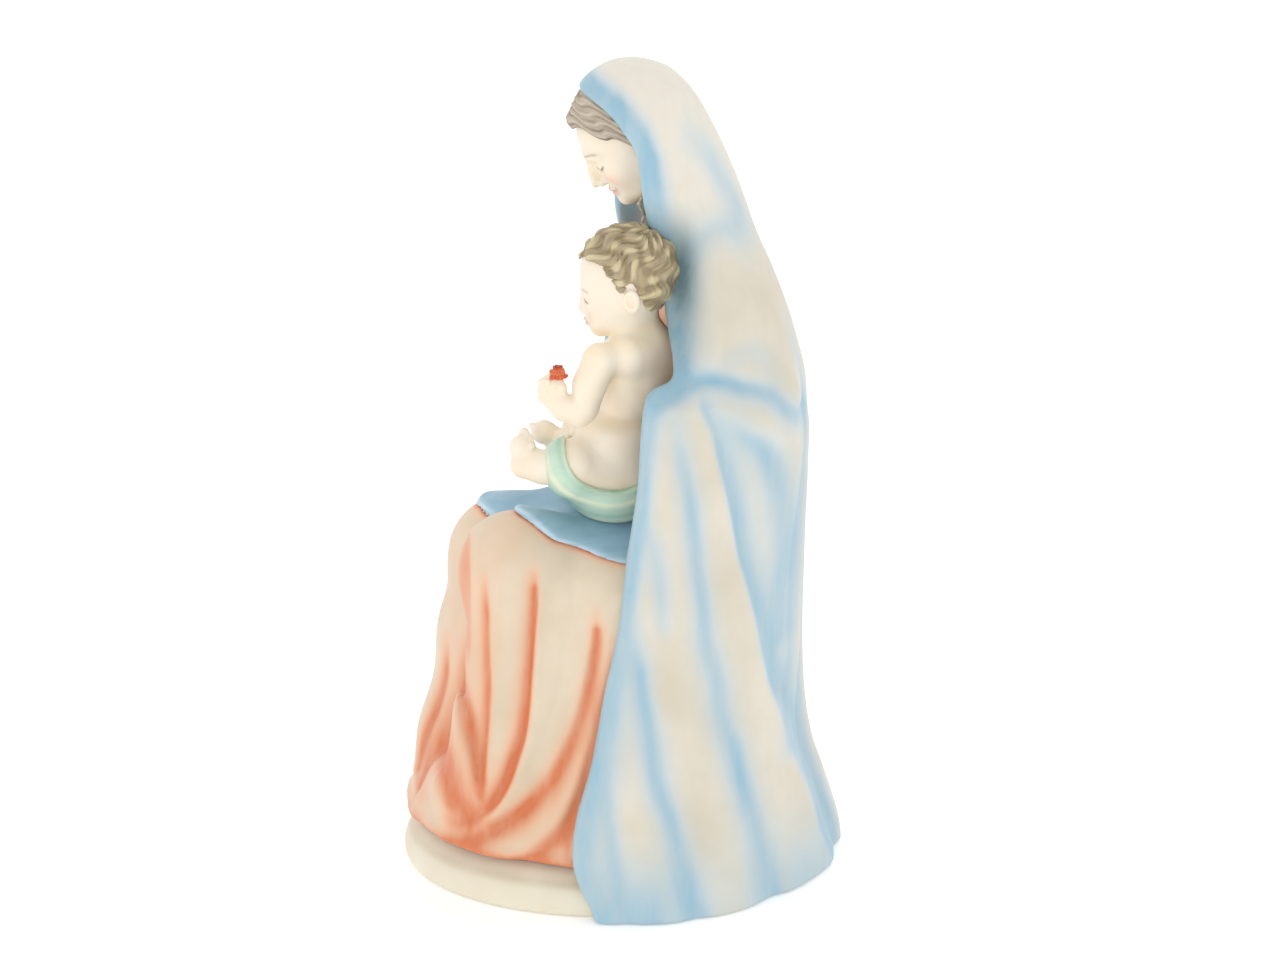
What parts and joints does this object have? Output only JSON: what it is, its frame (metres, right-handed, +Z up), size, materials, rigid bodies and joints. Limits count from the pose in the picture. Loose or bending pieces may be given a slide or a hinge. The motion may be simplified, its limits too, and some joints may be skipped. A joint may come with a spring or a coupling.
{
  "type": "madonna statue",
  "caption": "Hollow slip-cast porcelain figure of a seated hooded mother in a long mantle with a child holding a flower on her lap, on a low vented oval plinth.",
  "frame": {"origin": "on the ground under the middle of the figure", "axes": "+Z up; the mother faces -Y and her left hand is towards +X"},
  "size_m": [0.16, 0.1596, 0.305],
  "materials": {
    "plinth_bisque": "satin bisque, cream, greyed where the skirt's hem meets it",
    "robe_glaze": "satin bisque, cream ridges with salmon airbrushed into the folds",
    "mantle_glaze": "satin bisque, ivory ridges with pale blue airbrushed into the folds, hood edge and hem",
    "lap_cloth_paint": "satin sky blue with fine brush strokes",
    "skin_bisque": "satin warm ivory bisque with soft peach blushes",
    "mother_hair_paint": "satin taupe with darker brush lines",
    "child_hair_paint": "satin sandy blond with darker and lighter brush lines",
    "loincloth_paint": "satin mint green with pale ridges",
    "flower_paint": "satin orange red",
    "calyx_paint": "satin olive green"
  },
  "bodies": {
    "root": {"plinth": "plinth_bisque", "robe_skirt": "robe_glaze", "robe_bodice": "robe_glaze", "mantle": "mantle_glaze", "lap_drape": "lap_cloth_paint", "mother_head": "skin_bisque", "mother_hair": "mother_hair_paint", "mother_left_sleeve": "robe_glaze", "mother_left_hand": "skin_bisque", "mother_right_sleeve": "robe_glaze", "mother_right_hand": "skin_bisque", "child_torso": "skin_bisque", "child_head": "skin_bisque", "child_hair": "child_hair_paint", "child_left_arm": "skin_bisque", "child_right_arm": "skin_bisque", "child_left_leg": "skin_bisque", "child_right_leg": "skin_bisque", "child_loincloth": "loincloth_paint", "flower_bloom": "flower_paint", "flower_calyx": "calyx_paint"}
  },
  "joints": []
}
